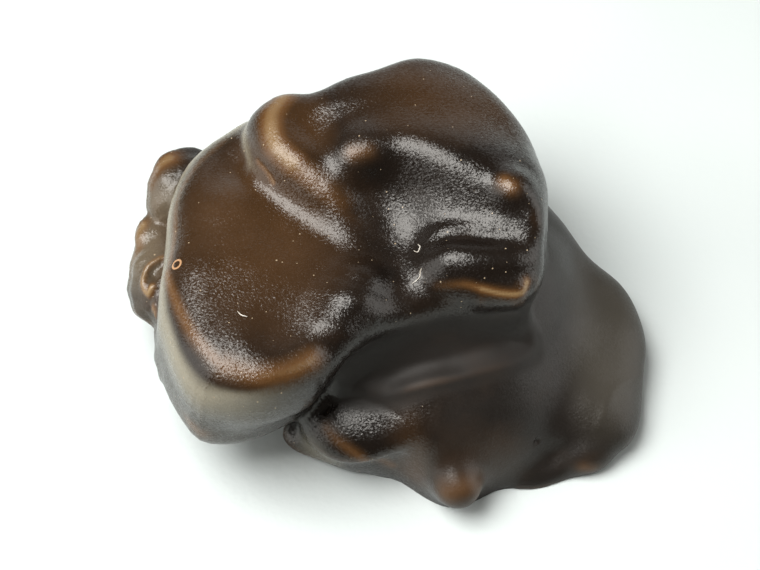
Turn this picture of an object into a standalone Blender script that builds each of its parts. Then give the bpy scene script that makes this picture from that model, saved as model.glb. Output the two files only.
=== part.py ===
"""Dark chocolate praline: lumps of nut and crisp melted together under one dark chocolate coat.

Metres, +Z up. The praline rests on its flat foot at z = 0. Its front faces -Y, and +X is to its right.
It is one solid. A left slab and a top mass lie over a lower skirt that spreads to the right and the
front, and small flakes look out from under the slab at the left.

The form is a distance in millimetres, negative inside the chocolate. Each lump has a distance of its
own, lumps melt into each other with a soft minimum, and hollows are pressed in with a soft maximum.
The lumps are first modelled plainly and fused, then the fused skin is drawn onto the coat.
"""
import math

import bmesh
import bpy
import numpy as np
from mathutils import Euler, Matrix, Vector

MM = 0.001
# Middle of the form's box in the lumps' own coordinates, which becomes the praline's origin
FRAME_CENTRE = (0.177, 0.791)

# Skin: first fused finely, drawn onto the coat, then fused again to the final face size
FINE_STEP = 0.50
SKIN_STEP = 0.80
FIT_STEPS = 6
RELAX = 0.35
FOOT_SNAP = 0.16
# Planes that stand in for the skirt's dome in the blank: their tilts, and how many go around at each
DOME_TILTS = (12, 34, 56)
DOME_TURNS = 12

# Unevenness of the poured coat
WAVE_HEIGHT = 0.07
WAVE_LENGTH = 7.0

# Left slab: the flat lump that lies high at the left
SLAB_HALF = 3.6
SLAB_LEVEL = 9.8
SLAB_EDGE = 2.6
# Two slopes that round the slab's rim off towards the left
SLAB_SLOPES = [((-11.9, -5.6, 14.8), (-0.27, -0.2, 0.94)), ((-13.4, -3.2, 14.5), (-0.3, -0.12, 0.945))]
SLAB_TURN = (-8.0, 4.0, 0.0)
SLAB_LOOP = [(-15.4, 2.0), (-15.3, 5.2), (-14.2, 8.4), (-11.9, 11.1), (-8.6, 12.6), (-2.0, 11.0),
             (1.0, 6.0), (3.0, 1.0), (2.6, -2.2), (0.2, -3.9), (-2.2, -5.2), (-4.0, -7.4), (-5.0, -9.8),
             (-7.4, -11.2), (-10.0, -11.1), (-12.3, -9.4), (-14.2, -6.2), (-15.2, -2.0)]
# Steep wall below the slab's front rim
WALL_HALF = 5.0
WALL_LEVEL = 8.0
WALL_EDGE = 3.0
WALL_TURN = (0.0, 6.0, 0.0)
WALL_LOOP = [(-15.6, -3.6), (-15.4, -6.2), (-14.4, -8.8), (-12.6, -11.0), (-9.8, -10.9), (-7.0, -9.8),
             (-4.4, -7.4), (-2.6, -3.0), (-4.0, 3.0), (-10.0, 6.0), (-14.0, 3.0)]
# Wing: the lip that stands over the slab, at the left of the top mass
WING_HALF = 1.5
WING_LEVEL = 12.2
WING_EDGE = 1.3
WING_TURN = (4.0, 9.0, 0.0)
WING_LOOP = [(-9.0, 9.4), (-8.7, 8.0), (-8.4, 7.0), (-7.3, 6.0), (-5.2, 4.4), (-2.9, 2.7), (0.0, 0.9),
             (3.0, 0.0), (3.5, 6.0), (0.5, 11.8), (-1.8, 12.2), (-4.3, 11.7), (-6.0, 11.5), (-7.8, 11.0)]
WING_ROOT_HALF = 2.6
WING_ROOT_LEVEL = 10.6
WING_ROOT_EDGE = 1.0
# Top mass: a loop seen from above, and the slopes that meet in its ridge
TOP_HALF = 5.8
TOP_LEVEL = 14.4
TOP_EDGE = 2.4
TOP_TURN = (-4.0, 0.0, 0.0)
TOP_LOOP = [(4.4, -2.7), (7.0, -3.2), (9.0, -3.1), (10.3, -1.4), (11.0, 2.0), (11.2, 5.6), (10.6, 8.8),
            (9.1, 11.8), (7.6, 14.0), (5.4, 15.6), (2.2, 15.6), (-1.2, 14.2), (-3.4, 12.6), (-3.8, 9.8),
            (-3.0, 7.0), (-1.6, 4.0), (0.2, 1.2), (1.8, -0.8), (3.0, -2.2)]
RIDGE_LEFT = (-1.8, 6.6, 16.1)
RIDGE_MIDDLE = (4.5, 5.7, 17.6)
RIDGE_RIGHT = (7.0, 4.3, 17.7)
TOP_SLOPES = [((8.0, 3.7, 17.4), (-0.24, -0.56, 0.78)), (RIDGE_MIDDLE, (0.12, 0.27, 1.0)),
              (RIDGE_RIGHT, (0.5, 0.38, 1.0)), (RIDGE_LEFT, (-0.36, 0.10, 1.0))]
# Skirt: the lower lump at the right and the front
SKIRT_HALF = 6.5
SKIRT_LEVEL = 5.0
SKIRT_EDGE = 1.5
SKIRT_LOOP = [(11.0, 5.0), (13.2, 3.4), (14.6, 1.2), (15.2, -2.0), (15.0, -5.4), (14.0, -8.4),
              (11.4, -11.0), (9.2, -12.8), (6.8, -13.8), (4.6, -13.7), (2.6, -12.1), (0.9, -10.7),
              (-0.4, -9.4), (0.0, -4.0), (2.0, 4.0), (6.0, 8.0)]
SKIRT_DOME = ((0.0, 3.2, 0.0), (16.7, 17.0, 11.5))
SKIRT_SLOPES = [((12.9, -1.0, 7.0), (0.85, -0.1, 0.5)), ((0.6, -8.5, 6.0), (-0.75, -0.2, 0.5))]
# Middle lobe: a flat-topped lump at the front, between the wall and the skirt
LOBE_ROUND = ((-1.1, -7.4, 2.8), (4.8, 3.4, 4.8), (0, 0, 0))
LOBE_SLOPES = [((-1.6, -8.2, 6.5), (-0.12, -0.27, 0.95))]

# Round lumps: name, centre, half sizes, turn in degrees, softness of the joint to what is there
CORE = [
    ("core", (1.0, 2.0, 5.0), (12.0, 10.5, 7.0), (0, 0, 0), 0.1),
    ("core_left", (-9.5, 2.8, 4.6), (7.0, 7.6, 5.2), (0, 0, 0), 3.0),
    ("back_right", (4.6, 8.6, 5.4), (6.6, 5.6, 6.2), (0, 0, 20), 2.0),
    ("back_left", (-5.6, 8.6, 5.2), (6.2, 5.0, 6.0), (0, 0, -15), 1.6),
    ("back_middle", (-0.2, 11.6, 8.4), (3.2, 2.8, 3.4), (0, 20, 0), 1.4),
    ("back_low", (9.0, 5.0, 3.0), (5.2, 4.8, 4.6), (0, 0, 0), 2.4),
]
BULGES = [
    ("right_bulge", (13.9, -0.9, 2.2), (4.9, 6.3, 2.8), (0, 0, 0), 2.4),
    ("right_low_bulge", (14.5, -5.8, 1.5), (3.9, 3.8, 2.3), (0, 0, 0), 1.8),
    ("right_foot", (14.3, -9.4, 1.0), (1.4, 1.1, 1.2), (0, 0, 0), 1.0),
    ("right_ledge", (11.6, -10.0, 0.0), (2.6, 1.1, 0.8), (0, 0, 25), 1.8),
    ("nose_nub", (5.0, -12.8, 2.8), (1.4, 1.3, 1.3), (0, 0, 0), 2.2),
    ("lobe_top", (-1.6, -8.7, 5.1), (4.0, 2.9, 1.3), (16, -12, 0), 1.2),
    ("middle_foot", (-4.5, -7.7, 1.2), (3.0, 1.8, 1.3), (0, 0, 0), 0.8),
]
FLAKES = [
    ("left_flake", (-16.4, 2.9, 6.0), (2.1, 4.1, 2.4), (0, 14, -4), 0.5),
    ("left_flake_top", (-16.9, 5.2, 7.2), (1.2, 1.6, 0.9), (0, 20, 0), 0.5),
    ("left_chip", (-15.8, 0.6, 7.4), (0.9, 1.6, 0.9), (0, 0, 10), 0.3),
    ("back_flake", (-14.2, 8.7, 8.6), (2.7, 3.0, 1.5), (0, 8, -35), 0.5),
    ("back_flake_left", (-15.7, 7.9, 7.8), (1.5, 2.2, 1.5), (0, 0, -10), 0.5),
    ("left_low_lump", (-14.6, -3.0, 5.6), (1.8, 3.4, 3.0), (0, 0, 0), 1.2),
]
NUBS = [
    ("ridge_nub", (-1.9, 6.7, 15.5), (0.9, 0.9, 0.7), (0, 0, 0), 2.4),
    ("shoulder_nub", (8.5, 3.4, 16.3), (0.8, 0.8, 0.7), (0, 0, 0), 1.6),
    ("wall_nub", (-12.4, -9.0, 5.2), (1.0, 1.0, 1.0), (0, 0, 0), 0.8),
    ("front_swelling", (6.2, -1.0, 12.4), (4.0, 2.4, 2.4), (0, 0, 0), 1.6),
]
# Hollows: centre, half sizes, turn, softness
RECESS_LOOP = [(-2.9, -7.3), (-1.0, -8.0), (1.0, -8.1), (4.5, -7.45), (7.0, -6.6), (8.9, -5.8),
               (10.3, -4.8), (10.5, -3.8), (9.4, -2.8), (6.0, -1.8), (2.2, -2.4), (-1.3, -4.5)]
RECESS_DEPTH = (0.35, 1.05)
RECESS_RAMP = 2.0
RECESS_MIDDLE = (3.6, -5.0)
RECESS_FORWARD = (0.31, -0.95)
RECESS_HALF = 2.5
# The hollow gets shallow towards its right end: from where to where, and the share left of its depth
RECESS_END = ((4.5, 9.5), (1.0, 0.45))
# How much softer the joint between the upper and the lower lumps is at the hollow, and how far around it
HOLLOW_JOINT = 1.6
HOLLOW_JOINT_REACH = 1.5
GULLY = ((0.8, 0.9, 19.0), (4.1, 5.8, 5.3), (0, 0, 23), 1.8)
DIMPLE = ((-6.4, -6.6, 16.4), (1.8, 2.4, 1.7), (0, 0, 0), 2.0)
# Bars: points of the line, radius at each point, softness
CREST = ([(-3.0, -5.6, 12.5), (-1.2, -4.6, 12.2), (1.4, -3.3, 11.8), (4.6, -2.4, 11.8)],
         [1.2, 1.4, 1.4, 1.3], 1.5)
FOLD = ([(-4.2, -7.1, 12.2), (-3.2, -5.6, 12.8), (-2.5, -4.2, 13.2), (-2.0, -2.9, 13.2)],
        [1.2, 1.7, 1.8, 1.4], 1.8)
LIP = ([(-6.8, 10.5, 14.6), (-7.7, 9.4, 14.7), (-7.5, 8.2, 14.8), (-7.0, 7.2, 14.8), (-6.1, 6.3, 14.6),
        (-4.3, 4.7, 14.0), (-2.3, 3.2, 13.2)], [1.2, 1.3, 1.3, 1.25, 1.2, 1.0, 0.5], 1.4)
RIM = ([(3.6, -2.3, 13.2), (4.6, -2.3, 13.2), (6.6, -2.8, 13.2), (8.6, -2.9, 13.2), (9.4, -2.2, 13.1)],
       [0.5, 0.7, 0.9, 0.9, 0.6], 0.8)


def to_frame(p, centre, turn):
    """Points seen from a lump's own frame."""
    matrix = np.array(Euler([math.radians(a) for a in turn], "XYZ").to_matrix())
    return (p - np.asarray(centre)) @ matrix


def pebble(p, centre, half, turn):
    """Distance to an ellipsoid: its implicit value divided by the length of its slope."""
    q = to_frame(p, centre, turn)
    half = np.asarray(half, float)
    k0 = np.linalg.norm(q / half, axis=1)
    k1 = np.linalg.norm(q / half ** 2, axis=1) + 1e-6
    return np.where(k0 < 0.05, -half.min(), k0 * (k0 - 1) / k1)


def bar(p, points, radii):
    """Distance to a round bar along a line whose radius changes from point to point."""
    best = np.full(len(p), 1e9)
    points = np.asarray(points, float)
    for a, b, ra, rb in zip(points[:-1], points[1:], radii[:-1], radii[1:]):
        ab = b - a
        t = np.clip((p - a) @ ab / (ab @ ab), 0, 1)
        best = np.minimum(best, np.linalg.norm(p - a - t[:, None] * ab, axis=1) - (ra + (rb - ra) * t))
    return best


def spline(points, steps, closed):
    """Catmull-Rom curve through the points, each span cut into the given number of steps."""
    p = np.asarray(points, float)
    count = len(p)
    if not closed:
        p = np.vstack([2 * p[0] - p[1], p, 2 * p[-1] - p[-2]])
    spans = range(count) if closed else range(1, count)
    out = []
    for i in spans:
        a, b, c, d = (p[j % len(p)] for j in (i - 1, i, i + 1, i + 2))
        for t in np.arange(steps) / steps:
            out.append(0.5 * (2 * b + (c - a) * t + (2 * a - 5 * b + 4 * c - d) * t ** 2
                              + (3 * b - a - 3 * c + d) * t ** 3))
    if not closed:
        out.append(p[-2])
    return np.array(out)


def outline_distance(xy, loop):
    """Distance in the plane to a closed line, negative inside it."""
    best = np.full(len(xy), 1e9)
    inside = np.zeros(len(xy), bool)
    for a, b in zip(loop, np.roll(loop, -1, axis=0)):
        e = b - a
        w = xy - a
        t = np.clip((w @ e) / (e @ e), 0, 1)
        best = np.minimum(best, ((w - t[:, None] * e) ** 2).sum(1))
        crosses = (a[1] <= xy[:, 1]) != (b[1] <= xy[:, 1])
        rise = e[1] if abs(e[1]) > 1e-9 else 1e-9
        inside ^= crosses & (xy[:, 0] < a[0] + (xy[:, 1] - a[1]) * e[0] / rise)
    return np.where(inside, -np.sqrt(best), np.sqrt(best))


def slab(p, level, loop, half, edge, turn, lean=0.0):
    """Distance to a plate of the given outline, its rims rounded to edge; lean draws it in downwards."""
    q = to_frame(p, (0, 0, level), turn)
    side = outline_distance(q[:, :2], loop) + edge - lean * np.minimum(q[:, 2], 0)
    flat = np.abs(q[:, 2]) - (half - edge)
    outside = np.hypot(np.maximum(side, 0), np.maximum(flat, 0))
    return np.minimum(np.maximum(side, flat), 0) + outside - edge


def soft_min(a, b, k):
    """The smaller of two distances, with a fillet of about the size k where they meet."""
    h = np.maximum(k - np.abs(a - b), 0) / k
    return np.minimum(a, b) - h * h * k * 0.25


def ease(t):
    """Goes from 0 to 1 with level ends while t goes from 0 to 1."""
    t = np.clip(t, 0, 1)
    return t * t * (3 - 2 * t)


def soft_max(a, b, k):
    """The larger of two distances, rounded over where they meet."""
    return -soft_min(-a, -b, k)


def slopes(p, faces, k):
    """Distance to the space under all of the given planes, each a point and an outward direction."""
    d = None
    for point, out in faces:
        side = (p - np.asarray(point)) @ (np.asarray(out) / np.linalg.norm(out))
        d = side if d is None else soft_max(d, side, k)
    return d


def waves(p):
    """Slow unevenness of a poured coat: three crossing sine waves."""
    k = 2 * math.pi / WAVE_LENGTH
    a = np.sin(k * (p[:, 0] + 0.6 * p[:, 1]) + 0.7)
    b = np.sin(1.3 * k * (0.8 * p[:, 1] - 0.5 * p[:, 2]) + 2.1)
    c = np.sin(0.9 * k * (p[:, 2] + 0.5 * p[:, 0]) + 4.0)
    return WAVE_HEIGHT * (a + b + c)


SLAB = spline(SLAB_LOOP, 3, True)
WALL = spline(WALL_LOOP, 3, True)
WING = spline(WING_LOOP, 3, True)
TOP = spline(TOP_LOOP, 3, True)
SKIRT = spline(SKIRT_LOOP, 3, True)
HOLLOW = spline(RECESS_LOOP, 3, True)


def melt(d, p, lumps):
    """Adds round lumps one after the other, each with its own softness."""
    for name, centre, half, turn, k in lumps:
        lump = pebble(p, centre, half, turn)
        d = lump if d is None else soft_min(d, lump, k)
    return d


def press(d, p, hollow):
    """Presses one round hollow into the form."""
    centre, half, turn, k = hollow
    return soft_max(d, -pebble(p, centre, half, turn), k)


def hollow_depth(p):
    """Depth of the hollow under the rim: grows from its back edge to its front edge, small at the right."""
    forward = (p[:, :2] - np.asarray(RECESS_MIDDLE)) @ np.asarray(RECESS_FORWARD)
    return np.interp(forward, (-RECESS_HALF, RECESS_HALF), RECESS_DEPTH) * np.interp(p[:, 0], *RECESS_END)


def coat(p):
    """Signed distance to the outside of the chocolate in millimetres, negative inside."""
    low = melt(None, p, CORE)
    skirt = slab(p, SKIRT_LEVEL, SKIRT, SKIRT_HALF, SKIRT_EDGE, (0, 0, 0))
    skirt = soft_max(skirt, slopes(p, SKIRT_SLOPES, 1.5), 1.5)
    skirt = soft_max(skirt, pebble(p, SKIRT_DOME[0], SKIRT_DOME[1], (0, 0, 0)), 2.0)
    lobe = soft_max(pebble(p, *LOBE_ROUND), slopes(p, LOBE_SLOPES, 1.0), 1.0)
    low = soft_min(soft_min(low, lobe, 1.0), skirt, 1.6)
    low = melt(low, p, BULGES)
    low = low + hollow_depth(p) * ease(-outline_distance(p[:, :2], HOLLOW) / RECESS_RAMP)
    up = slab(p, SLAB_LEVEL, SLAB, SLAB_HALF, SLAB_EDGE, SLAB_TURN, 0.1)
    up = soft_max(up, slopes(p, SLAB_SLOPES, 0.8), 0.8)
    up = soft_min(up, slab(p, WALL_LEVEL, WALL, WALL_HALF, WALL_EDGE, WALL_TURN), 1.6)
    up = press(up, p, DIMPLE)
    mass = soft_max(slopes(p, TOP_SLOPES, 1.4), slab(p, TOP_LEVEL, TOP, TOP_HALF, TOP_EDGE, TOP_TURN), 1.6)
    mass = soft_min(mass, slab(p, WING_LEVEL, WING, WING_HALF, WING_EDGE, WING_TURN, 0.3), 3.2)
    up = soft_min(up, slab(p, WING_ROOT_LEVEL, WING, WING_ROOT_HALF, WING_ROOT_EDGE, WING_TURN, 0.1), 3.2)
    up = press(soft_min(up, mass, 2.8), p, GULLY)
    for points, radii, k in (CREST, FOLD, LIP):
        up = soft_min(up, bar(p, points, radii), k)
    up = melt(up, p, NUBS)
    up = soft_min(up, bar(p, RIM[0], RIM[1]), RIM[2])
    near = ease(1 - outline_distance(p[:, :2], HOLLOW) / HOLLOW_JOINT_REACH)
    d = melt(soft_min(low, up, 1.0 + HOLLOW_JOINT * near), p, FLAKES)
    return d + waves(p)


def slope_of(p):
    """Direction in which the distance grows, by central differences."""
    step = 0.05
    out = np.empty_like(p)
    for axis in range(3):
        shift = np.zeros(3)
        shift[axis] = step
        out[:, axis] = (coat(p + shift) - coat(p - shift)) / (2 * step)
    return out


def collection(name):
    """A new collection in the scene."""
    made = bpy.data.collections.new(name)
    bpy.context.scene.collection.children.link(made)
    return made


def chocolate():
    """Dark chocolate, satin as it comes from the enrober."""
    made = bpy.data.materials.new("dark_chocolate")
    made.use_nodes = True
    shader = made.node_tree.nodes["Principled BSDF"]
    shader.inputs["Base Color"].default_value = (0.042, 0.021, 0.011, 1.0)
    shader.inputs["Roughness"].default_value = 0.4
    shader.inputs["Metallic"].default_value = 0.0
    return made


def add_round(bm, centre, half, turn):
    """A round lump of the blank."""
    lean = Euler([math.radians(a) for a in turn], "XYZ")
    place = Matrix.LocRotScale(Vector(centre) * MM, lean, Vector(half) * MM)
    bmesh.ops.create_icosphere(bm, subdivisions=3, radius=1.0, matrix=place)


def add_plate(bm, name, level, loop, half, turn):
    """A plate of the blank: a filled 2D curve with thickness, turned into a mesh."""
    curve = bpy.data.curves.new(name, "CURVE")
    curve.dimensions = "2D"
    curve.fill_mode = "BOTH"
    curve.extrude = half * MM
    line = curve.splines.new("POLY")
    line.points.add(len(loop) - 1)
    for point, (x, y) in zip(line.points, loop):
        point.co = (x * MM, y * MM, 0.0, 1.0)
    line.use_cyclic_u = True
    plate = bpy.data.objects.new(name, curve)
    mesh = bpy.data.meshes.new_from_object(plate)
    lean = Euler([math.radians(a) for a in turn], "XYZ")
    mesh.transform(Matrix.LocRotScale(Vector((0, 0, level * MM)), lean, None))
    bm.from_mesh(mesh)
    bpy.data.objects.remove(plate)
    bpy.data.curves.remove(curve)
    bpy.data.meshes.remove(mesh)


def add_plate_under(bm, name, level, loop, half, turn, faces):
    """A plate of the blank cut down along the planes that slope over it."""
    part = bmesh.new()
    add_plate(part, name, level, loop, half, turn)
    bmesh.ops.remove_doubles(part, verts=part.verts, dist=1e-6)
    for point, out in faces:
        cut = bmesh.ops.bisect_plane(part, geom=part.verts[:] + part.edges[:] + part.faces[:], dist=1e-7,
                                     plane_co=Vector(point) * MM, plane_no=Vector(out), clear_outer=True)
        rim = [e for e in cut["geom_cut"] if isinstance(e, bmesh.types.BMEdge)]
        bmesh.ops.contextual_create(part, geom=rim)
    mesh = bpy.data.meshes.new(name)
    part.to_mesh(mesh)
    part.free()
    bm.from_mesh(mesh)
    bpy.data.meshes.remove(mesh)


def dome_faces(dome, tilts, turns):
    """Planes that touch a dome all around: for each direction, its point that lies farthest that way."""
    centre, half = np.asarray(dome[0]), np.asarray(dome[1])
    faces = []
    for tilt in tilts:
        for turn in range(turns):
            a, b = math.radians(tilt), 2 * math.pi * turn / turns
            out = np.array([math.sin(a) * math.cos(b), math.sin(a) * math.sin(b), math.cos(a)])
            faces.append((tuple(centre + half ** 2 * out / np.linalg.norm(half * out)), tuple(out)))
    return faces


def add_bar(bm, points, radii):
    """A bar of the blank: round beads set along its line, closer together than they are thick."""
    points = np.asarray(points, float)
    for a, b, ra, rb in zip(points[:-1], points[1:], radii[:-1], radii[1:]):
        beads = max(2, math.ceil(np.linalg.norm(b - a) / (0.5 * min(ra, rb))))
        for t in np.linspace(0, 1, beads):
            add_round(bm, tuple(a + (b - a) * t), (ra + (rb - ra) * t,) * 3, (0, 0, 0))


def blank_mesh():
    """All lumps together, as plain shapes that run into each other."""
    bm = bmesh.new()
    for lumps in (CORE, BULGES, FLAKES, NUBS):
        for name, centre, half, turn, k in lumps:
            add_round(bm, centre, half, turn)
    add_round(bm, *LOBE_ROUND)
    for points, radii, k in (CREST, FOLD, LIP, RIM):
        add_bar(bm, points, radii)
    add_plate(bm, "slab", SLAB_LEVEL, SLAB, SLAB_HALF, SLAB_TURN)
    add_plate(bm, "wall", WALL_LEVEL, WALL, WALL_HALF, WALL_TURN)
    add_plate(bm, "wing", WING_LEVEL, WING, WING_HALF, WING_TURN)
    add_plate(bm, "wing_root", WING_ROOT_LEVEL, WING, WING_ROOT_HALF, WING_TURN)
    add_plate_under(bm, "top", TOP_LEVEL, TOP, TOP_HALF, TOP_TURN, TOP_SLOPES)
    over = SKIRT_SLOPES + dome_faces(SKIRT_DOME, DOME_TILTS, DOME_TURNS)
    add_plate_under(bm, "skirt", SKIRT_LEVEL, SKIRT, SKIRT_HALF, (0, 0, 0), over)
    mesh = bpy.data.meshes.new("blank")
    bm.to_mesh(mesh)
    bm.free()
    return mesh


def fuse(mesh, step, guides):
    """One skin of even faces around the mesh, made by a voxel remesh."""
    guide = bpy.data.objects.new(mesh.name, mesh)
    guides.objects.link(guide)
    guide.hide_render = True
    guide.display_type = "WIRE"
    remesh = guide.modifiers.new("fuse", "REMESH")
    remesh.mode = "VOXEL"
    remesh.voxel_size = step * MM
    bpy.context.view_layer.update()
    skin = bpy.data.meshes.new_from_object(guide.evaluated_get(bpy.context.evaluated_depsgraph_get()))
    return skin


def draw_onto_coat(mesh, relaxed):
    """Moves the skin onto the coat, evening out its faces in the first of its steps."""
    count = len(mesh.vertices)
    p = np.empty(count * 3)
    mesh.vertices.foreach_get("co", p)
    p = p.reshape(count, 3) / MM
    ends = np.empty(len(mesh.edges) * 2, int)
    mesh.edges.foreach_get("vertices", ends)
    ends = ends.reshape(-1, 2)
    degree = np.bincount(ends.ravel(), minlength=count)
    for turn in range(FIT_STEPS):
        grow = slope_of(p)
        length = np.linalg.norm(grow, axis=1) + 1e-6
        reach = np.clip(coat(p) / length, -0.8, 0.8)
        p -= grow * (reach / length)[:, None]
        if turn < relaxed:
            near = np.zeros_like(p)
            np.add.at(near, ends[:, 0], p[ends[:, 1]])
            np.add.at(near, ends[:, 1], p[ends[:, 0]])
            drift = near / degree[:, None] - p
            normal = grow / length[:, None]
            p += RELAX * (drift - normal * (drift * normal).sum(1)[:, None])
    mesh.vertices.foreach_set("co", (p * MM).ravel())
    mesh.update()


def cut_flat_foot(mesh):
    """Cuts the skin level with the table and closes it with one flat foot."""
    bm = bmesh.new()
    bm.from_mesh(mesh)
    everything = bm.verts[:] + bm.edges[:] + bm.faces[:]
    bmesh.ops.bisect_plane(bm, geom=everything, dist=FOOT_SNAP * MM, use_snap_center=True,
                           plane_co=(0, 0, 0), plane_no=(0, 0, 1), clear_inner=True)
    loose = [v for v in bm.verts if not v.link_faces]
    bmesh.ops.delete(bm, geom=loose, context="VERTS")
    rim = [e for e in bm.edges if e.is_boundary]
    bmesh.ops.holes_fill(bm, edges=rim, sides=0)
    bmesh.ops.recalc_face_normals(bm, faces=bm.faces[:])
    bm.to_mesh(mesh)
    bm.free()
    mesh.shade_smooth()


def main():
    for old in list(bpy.data.objects):
        bpy.data.objects.remove(old, do_unlink=True)
    parts = collection("dark_chocolate_praline")
    guides = collection("guides")
    rough = fuse(blank_mesh(), FINE_STEP, guides)
    rough.name = "rough_skin"
    draw_onto_coat(rough, 2)
    skin = fuse(rough, SKIN_STEP, guides)
    skin.name = "praline"
    draw_onto_coat(skin, FIT_STEPS - 2)
    cut_flat_foot(skin)
    skin.transform(Matrix.Translation(Vector((-FRAME_CENTRE[0], -FRAME_CENTRE[1], 0.0)) * MM))
    skin.materials.clear()
    skin.materials.append(chocolate())
    praline = bpy.data.objects.new("praline", skin)
    parts.objects.link(praline)


main()
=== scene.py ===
"""Looks of a dark chocolate praline: a cluster of nuts and crisp under one poured coat of dark chocolate.

The coat's form is worked out from named lumps, plates and bars, the same ones as the solid's.
The fine relief of the pour, its thin tan rims, its fine crystals and a little lint are added here.
"""

import math

import bmesh
import bpy
import numpy as np
from bpy.props import FloatProperty, FloatVectorProperty, IntProperty, PointerProperty
from mathutils import Euler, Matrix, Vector


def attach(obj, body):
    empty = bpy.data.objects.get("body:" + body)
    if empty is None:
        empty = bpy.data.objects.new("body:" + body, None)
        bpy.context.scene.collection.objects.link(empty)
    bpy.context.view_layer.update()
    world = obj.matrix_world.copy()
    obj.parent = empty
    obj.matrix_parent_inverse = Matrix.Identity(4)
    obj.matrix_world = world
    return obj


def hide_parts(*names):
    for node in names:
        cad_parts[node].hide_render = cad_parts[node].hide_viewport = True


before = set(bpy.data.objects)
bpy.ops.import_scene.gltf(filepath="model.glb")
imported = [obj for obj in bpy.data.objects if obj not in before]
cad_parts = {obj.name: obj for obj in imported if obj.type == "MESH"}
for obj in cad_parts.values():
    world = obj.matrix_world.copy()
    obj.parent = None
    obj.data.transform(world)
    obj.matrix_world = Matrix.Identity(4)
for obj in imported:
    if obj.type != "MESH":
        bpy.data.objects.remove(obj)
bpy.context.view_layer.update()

bl_info = {
    "name": "Dark chocolate praline",
    "version": (1, 0, 0),
    "blender": (4, 5, 0),
    "location": "View3D > Sidebar > Praline",
    "description": "Builds a dark chocolate praline's poured coat, its lint and a plain studio",
    "category": "Object",
}

# The forms are given in millimetres; this point of theirs is the middle of the part's foot
MM = 0.001
FRAME_CENTRE = np.array((0.177, 0.791, 0.0))
# Parts that each span of a curve is cut into: an outline seen from above, a line on the coat, a hair
LOOP_STEPS = 3
LINE_STEPS = 3
HAIR_STEPS = 6

# Unevenness of the poured coat: height and length, and each wave's direction and phase.
# A direction longer than one makes its wave shorter
WAVE_HEIGHT = 0.07
WAVE_LENGTH = 7.0
WAVES = [((1.0, 0.6, 0.0), 0.7), ((0.0, 1.04, -0.65), 2.1), ((0.45, 0.0, 0.9), 4.0)]

# Each plate has half its thickness, the level of its middle, the rounding of its rims, a turn in degrees
# and a loop seen from above. Lean draws its sides in downwards, rounding softens the edges between
# its faces, and joint is the softness of its meeting with what is there already

# Left slab: the flat lump that lies high at the left
SLAB_HALF = 3.6
SLAB_LEVEL = 9.8
SLAB_EDGE = 2.6
SLAB_LEAN = 0.1
SLAB_ROUNDING = 0.8
# Two slopes that round the slab's rim off towards the left
SLAB_SLOPES = [((-11.9, -5.6, 14.8), (-0.27, -0.2, 0.94)), ((-13.4, -3.2, 14.5), (-0.3, -0.12, 0.945))]
SLAB_TURN = (-8.0, 4.0, 0.0)
SLAB_LOOP = [(-15.4, 2.0), (-15.3, 5.2), (-14.2, 8.4), (-11.9, 11.1), (-8.6, 12.6), (-2.0, 11.0),
             (1.0, 6.0), (3.0, 1.0), (2.6, -2.2), (0.2, -3.9), (-2.2, -5.2), (-4.0, -7.4), (-5.0, -9.8),
             (-7.4, -11.2), (-10.0, -11.1), (-12.3, -9.4), (-14.2, -6.2), (-15.2, -2.0)]
# Steep wall below the slab's front rim
WALL_HALF = 5.0
WALL_LEVEL = 8.0
WALL_EDGE = 3.0
WALL_JOINT = 1.6
WALL_TURN = (0.0, 6.0, 0.0)
WALL_LOOP = [(-15.6, -3.6), (-15.4, -6.2), (-14.4, -8.8), (-12.6, -11.0), (-9.8, -10.9), (-7.0, -9.8),
             (-4.4, -7.4), (-2.6, -3.0), (-4.0, 3.0), (-10.0, 6.0), (-14.0, 3.0)]
# Wing: the lip that stands over the slab, at the left of the top mass
WING_HALF = 1.5
WING_LEVEL = 12.2
WING_EDGE = 1.3
WING_LEAN = 0.3
WING_JOINT = 3.2
WING_TURN = (4.0, 9.0, 0.0)
WING_LOOP = [(-9.0, 9.4), (-8.7, 8.0), (-8.4, 7.0), (-7.3, 6.0), (-5.2, 4.4), (-2.9, 2.7), (0.0, 0.9),
             (3.0, 0.0), (3.5, 6.0), (0.5, 11.8), (-1.8, 12.2), (-4.3, 11.7), (-6.0, 11.5), (-7.8, 11.0)]
# The wing's root: a thicker plate of the same outline below it
WING_ROOT_HALF = 2.6
WING_ROOT_LEVEL = 10.6
WING_ROOT_EDGE = 1.0
WING_ROOT_LEAN = 0.1
# Top mass: a loop seen from above, and the slopes that meet in its ridge
TOP_HALF = 5.8
TOP_LEVEL = 14.4
TOP_EDGE = 2.4
TOP_ROUNDING = 1.6
TOP_JOINT = 2.8
RIDGE_ROUNDING = 1.4
TOP_TURN = (-4.0, 0.0, 0.0)
TOP_LOOP = [(4.4, -2.7), (7.0, -3.2), (9.0, -3.1), (10.3, -1.4), (11.0, 2.0), (11.2, 5.6), (10.6, 8.8),
            (9.1, 11.8), (7.6, 14.0), (5.4, 15.6), (2.2, 15.6), (-1.2, 14.2), (-3.4, 12.6), (-3.8, 9.8),
            (-3.0, 7.0), (-1.6, 4.0), (0.2, 1.2), (1.8, -0.8), (3.0, -2.2)]
RIDGE_LEFT = (-1.8, 6.6, 16.1)
RIDGE_MIDDLE = (4.5, 5.7, 17.6)
RIDGE_RIGHT = (7.0, 4.3, 17.7)
TOP_SLOPES = [((8.0, 3.7, 17.4), (-0.24, -0.56, 0.78)), (RIDGE_MIDDLE, (0.12, 0.27, 1.0)),
              (RIDGE_RIGHT, (0.5, 0.38, 1.0)), (RIDGE_LEFT, (-0.36, 0.10, 1.0))]
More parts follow.
